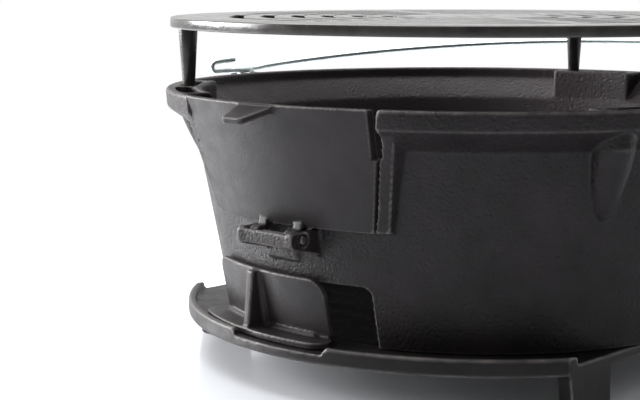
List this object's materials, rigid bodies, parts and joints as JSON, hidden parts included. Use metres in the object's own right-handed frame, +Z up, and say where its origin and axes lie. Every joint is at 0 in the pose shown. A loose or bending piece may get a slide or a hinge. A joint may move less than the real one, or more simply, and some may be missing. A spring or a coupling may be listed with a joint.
{
  "type": "cast iron fire grill",
  "caption": "Portable cast iron fire bowl on a footed base plate, with a fuel door, draft slider, coal grate, raised round grill grate and wire bail.",
  "frame": {"origin": "on the floor under the bowl's axis, midway between the four feet", "axes": "+Z up, along the bowl's axis; +X through the bail's right spigot; the fuel door and draft slider face -Y"},
  "size_m": [0.3784, 0.3711, 0.1826],
  "materials": {
    "cast_iron_body": "sand cast and oiled",
    "cast_iron_grate": "sand cast, oiled, top face smoother",
    "pin_steel": "bright drawn",
    "handle_wire": "bright plated wire"
  },
  "bodies": {
    "base": {"base_plate": "cast_iron_body"},
    "bowl": {"fire_bowl": "cast_iron_body", "door_hinge_pin": "pin_steel"},
    "door": {"fuel_door": "cast_iron_body"},
    "slider": {"draft_slider": "cast_iron_body"},
    "fuel_grate": {"coal_grate": "cast_iron_grate"},
    "grill": {"grill_grate": "cast_iron_grate", "grate_leg_back": "cast_iron_grate", "grate_leg_left": "cast_iron_grate", "grate_leg_right": "cast_iron_grate"},
    "bail": {"bail_handle": "handle_wire"}
  },
  "joints": [
    {"name": "bowl_lift", "type": "slide", "parent": "base", "child": "bowl", "axis": [0, 0, 1], "range_m": [0, 0.04]},
    {"name": "draft_slide", "type": "hinge", "parent": "base", "child": "slider", "pos_m": [0, 0, 0.0263], "axis": [0, 0, 1], "range_deg": [-26, 11]},
    {"name": "door_hinge", "type": "hinge", "parent": "bowl", "child": "door", "pos_m": [0, -0.1545, 0.0805], "axis": [1, 0, 0], "range_deg": [0, 85]},
    {"name": "coal_grate_lift", "type": "slide", "parent": "bowl", "child": "fuel_grate", "axis": [0, 0, 1], "range_m": [0, 0.04]},
    {"name": "grill_lift", "type": "slide", "parent": "bowl", "child": "grill", "axis": [0, 0, 1], "range_m": [0, 0.04]},
    {"name": "bail_swing", "type": "hinge", "parent": "bowl", "child": "bail", "pos_m": [0, 0, 0.141], "axis": [1, 0, 0], "range_deg": [0, 169]}
  ]
}
